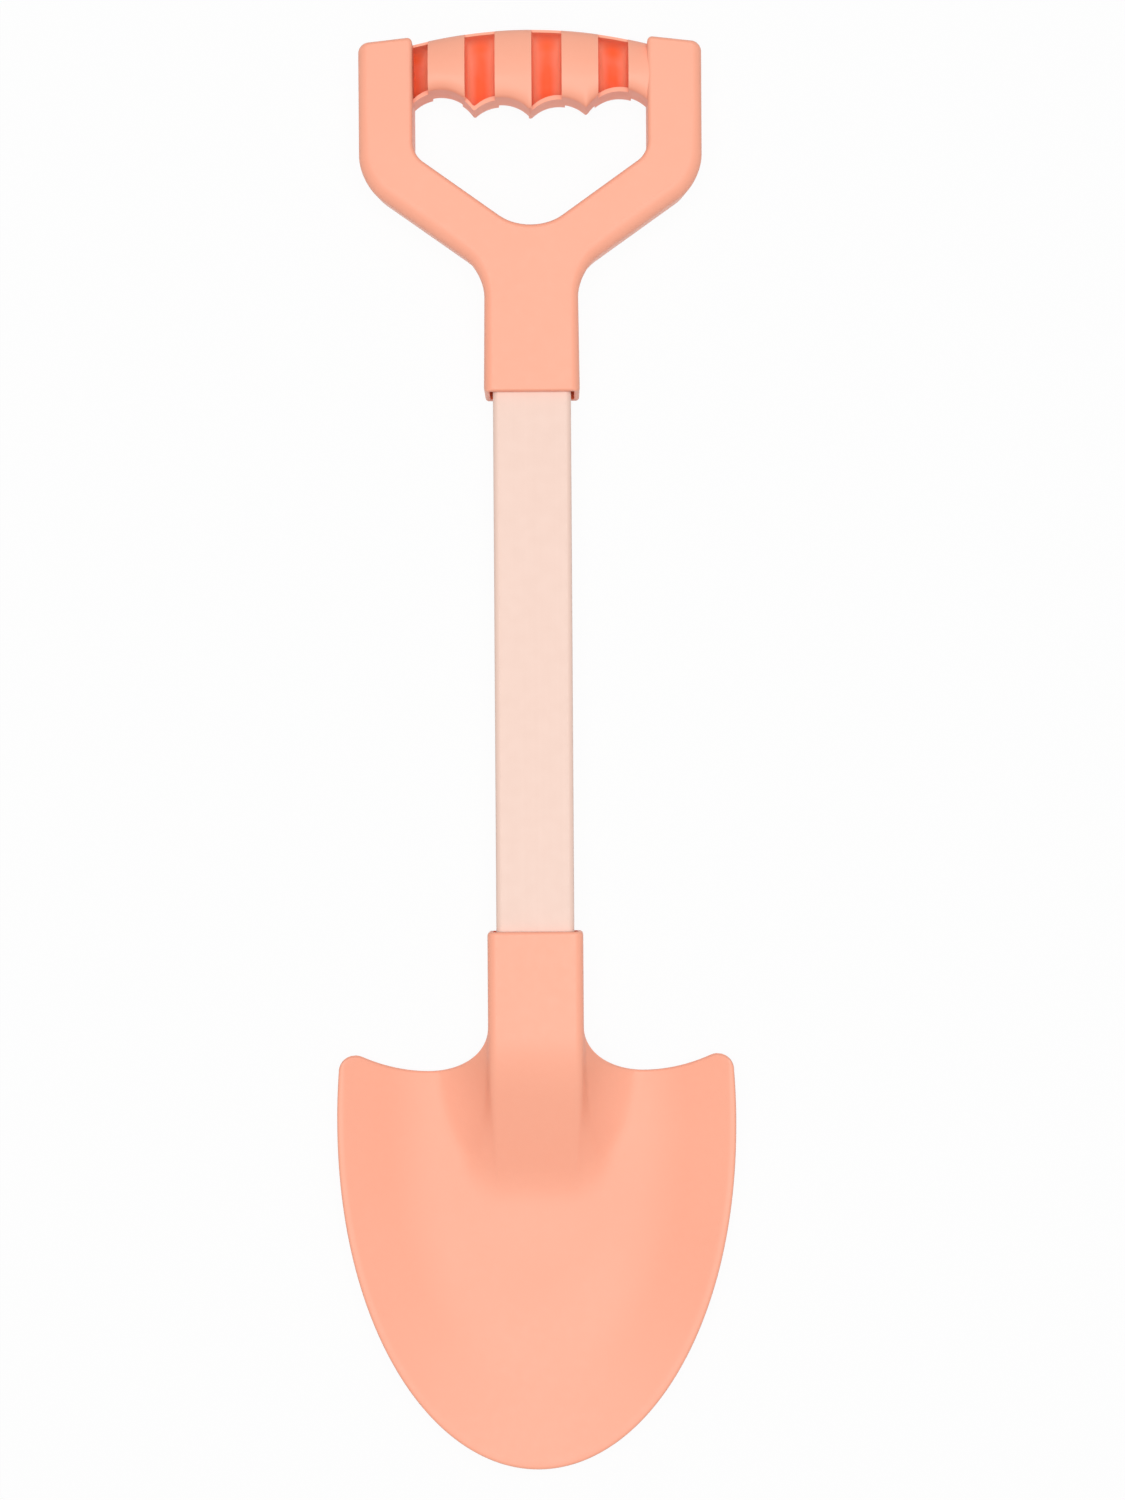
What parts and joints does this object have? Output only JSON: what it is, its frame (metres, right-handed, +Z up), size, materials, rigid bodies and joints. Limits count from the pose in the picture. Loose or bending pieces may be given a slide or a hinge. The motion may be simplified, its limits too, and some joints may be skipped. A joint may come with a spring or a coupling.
{
  "type": "sand shovel",
  "caption": "Child's sand shovel with a dished round-nosed blade, a flat rectangular shaft and a D-shaped handle with finger hollows, lying on its back with the scoop up.",
  "frame": {"origin": "middle of the shovel's length and width, on the surface it lies on", "axes": "+X across the blade, +Y along the shaft from the blade's tip to the grip, +Z up out of the scoop"},
  "size_m": [0.1246, 0.4482, 0.02],
  "materials": {
    "coral_plastic": "satin moulded, very fine grain",
    "pale_plastic": "satin extruded",
    "plug_plastic": "plain moulded",
    "screw_steel": "zinc plated"
  },
  "bodies": {
    "root": {"blade": "coral_plastic", "shaft": "pale_plastic", "d_handle": "coral_plastic", "upper_plug": "plug_plastic", "lower_plug": "plug_plastic", "upper_screw": "screw_steel", "lower_screw": "screw_steel"}
  },
  "joints": []
}
